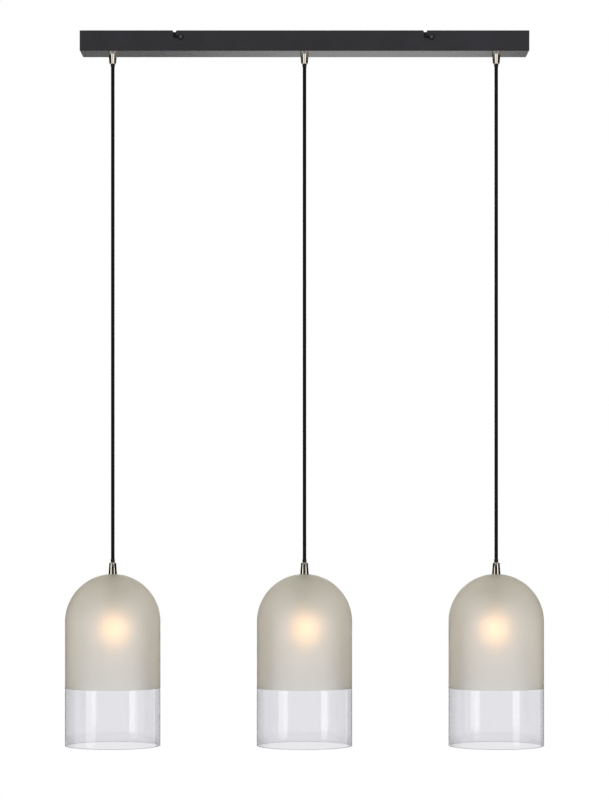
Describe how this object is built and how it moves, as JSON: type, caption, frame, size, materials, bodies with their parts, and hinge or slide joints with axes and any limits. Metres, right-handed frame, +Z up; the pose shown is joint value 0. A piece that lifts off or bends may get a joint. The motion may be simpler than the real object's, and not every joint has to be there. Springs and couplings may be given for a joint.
{
  "type": "linear island pendant",
  "caption": "Linear ceiling pendant: black hook-on canopy bar with straight black textile cords and bell-shaped glass shades, frosted above and clear below.",
  "frame": {"origin": "in the ceiling plane, on the bracket's top face, midway between its ceiling screw slots and under the middle of the canopy bar", "axes": "+Z up into the ceiling, +X along the bar to the right as seen from the front, -Y towards the front"},
  "size_m": [0.804, 0.16, 1.1963],
  "materials": {
    "canopy_paint": "satin powder coat",
    "bracket_steel": "blackened zinc plate",
    "screw_black": "black oxide",
    "zinc_steel": "zinc plated",
    "ferrule_brass": "polished dark nickel over brass",
    "grip_nylon": "fine matt",
    "cord_textile": "braided rayon over cable",
    "lead_sheath": "smooth cable sheath",
    "terminal_nylon": "moulded",
    "shade_glass": "etched satin above, clear below",
    "seal_silicone": "translucent",
    "holder_plastic": "pressed, ivory white",
    "contact_brass": "bare",
    "bulb_cap_aluminium": "rolled thread",
    "bulb_opal": "opal, lit"
  },
  "bodies": {
    "bracket": {"ceiling_bracket": "bracket_steel", "side_screws": "screw_black"},
    "canopy": {"canopy": "canopy_paint", "upper_nipples": "zinc_steel", "nipple_nuts": "zinc_steel", "nipple_washers": "zinc_steel", "terminal_block": "terminal_nylon", "terminal_screws": "zinc_steel", "stud_nuts": "zinc_steel", "stud_washers": "zinc_steel", "upper_ferrule_left": "ferrule_brass", "inner_lead_left": "lead_sheath", "upper_ferrule_middle": "ferrule_brass", "inner_lead_middle": "lead_sheath", "upper_ferrule_right": "ferrule_brass", "inner_lead_right": "lead_sheath"},
    "grip_left": {"cord_grip_left": "grip_nylon"},
    "pendant_left": {"cord_left": "cord_textile", "lower_collar_left": "grip_nylon", "lower_ferrule_left": "ferrule_brass", "lower_nipple_left": "zinc_steel", "shade_left": "shade_glass", "shade_seal_left": "seal_silicone", "clamp_washer_left": "zinc_steel", "shade_nut_left": "zinc_steel", "holder_cap_left": "holder_plastic", "holder_body_left": "holder_plastic", "holder_contacts_left": "contact_brass", "bulb_cap_left": "bulb_cap_aluminium", "bulb_globe_left": "bulb_opal"},
    "grip_middle": {"cord_grip_middle": "grip_nylon"},
    "pendant_middle": {"cord_middle": "cord_textile", "lower_collar_middle": "grip_nylon", "lower_ferrule_middle": "ferrule_brass", "lower_nipple_middle": "zinc_steel", "shade_middle": "shade_glass", "shade_seal_middle": "seal_silicone", "clamp_washer_middle": "zinc_steel", "shade_nut_middle": "zinc_steel", "holder_cap_middle": "holder_plastic", "holder_body_middle": "holder_plastic", "holder_contacts_middle": "contact_brass", "bulb_cap_middle": "bulb_cap_aluminium", "bulb_globe_middle": "bulb_opal"},
    "grip_right": {"cord_grip_right": "grip_nylon"},
    "pendant_right": {"cord_right": "cord_textile", "lower_collar_right": "grip_nylon", "lower_ferrule_right": "ferrule_brass", "lower_nipple_right": "zinc_steel", "shade_right": "shade_glass", "shade_seal_right": "seal_silicone", "clamp_washer_right": "zinc_steel", "shade_nut_right": "zinc_steel", "holder_cap_right": "holder_plastic", "holder_body_right": "holder_plastic", "holder_contacts_right": "contact_brass", "bulb_cap_right": "bulb_cap_aluminium", "bulb_globe_right": "bulb_opal"}
  },
  "joints": [
    {"name": "canopy_slide", "type": "slide", "parent": "bracket", "child": "canopy", "axis": [1, 0, 0], "range_m": [0, 0.0104]},
    {"name": "fore_aft_swing_left", "type": "hinge", "parent": "canopy", "child": "grip_left", "pos_m": [-0.322, 0, -0.0477], "axis": [1, 0, 0], "range_deg": [-15, 15]},
    {"name": "side_swing_left", "type": "hinge", "parent": "grip_left", "child": "pendant_left", "pos_m": [-0.322, 0, -0.0552], "axis": [0, 1, 0], "range_deg": [-4, 4]},
    {"name": "fore_aft_swing_middle", "type": "hinge", "parent": "canopy", "child": "grip_middle", "pos_m": [0, 0, -0.0477], "axis": [1, 0, 0], "range_deg": [-15, 15]},
    {"name": "side_swing_middle", "type": "hinge", "parent": "grip_middle", "child": "pendant_middle", "pos_m": [0, 0, -0.0552], "axis": [0, 1, 0], "range_deg": [-4, 4]},
    {"name": "fore_aft_swing_right", "type": "hinge", "parent": "canopy", "child": "grip_right", "pos_m": [0.322, 0, -0.0477], "axis": [1, 0, 0], "range_deg": [-15, 15]},
    {"name": "side_swing_right", "type": "hinge", "parent": "grip_right", "child": "pendant_right", "pos_m": [0.322, 0, -0.0552], "axis": [0, 1, 0], "range_deg": [-4, 4]}
  ]
}
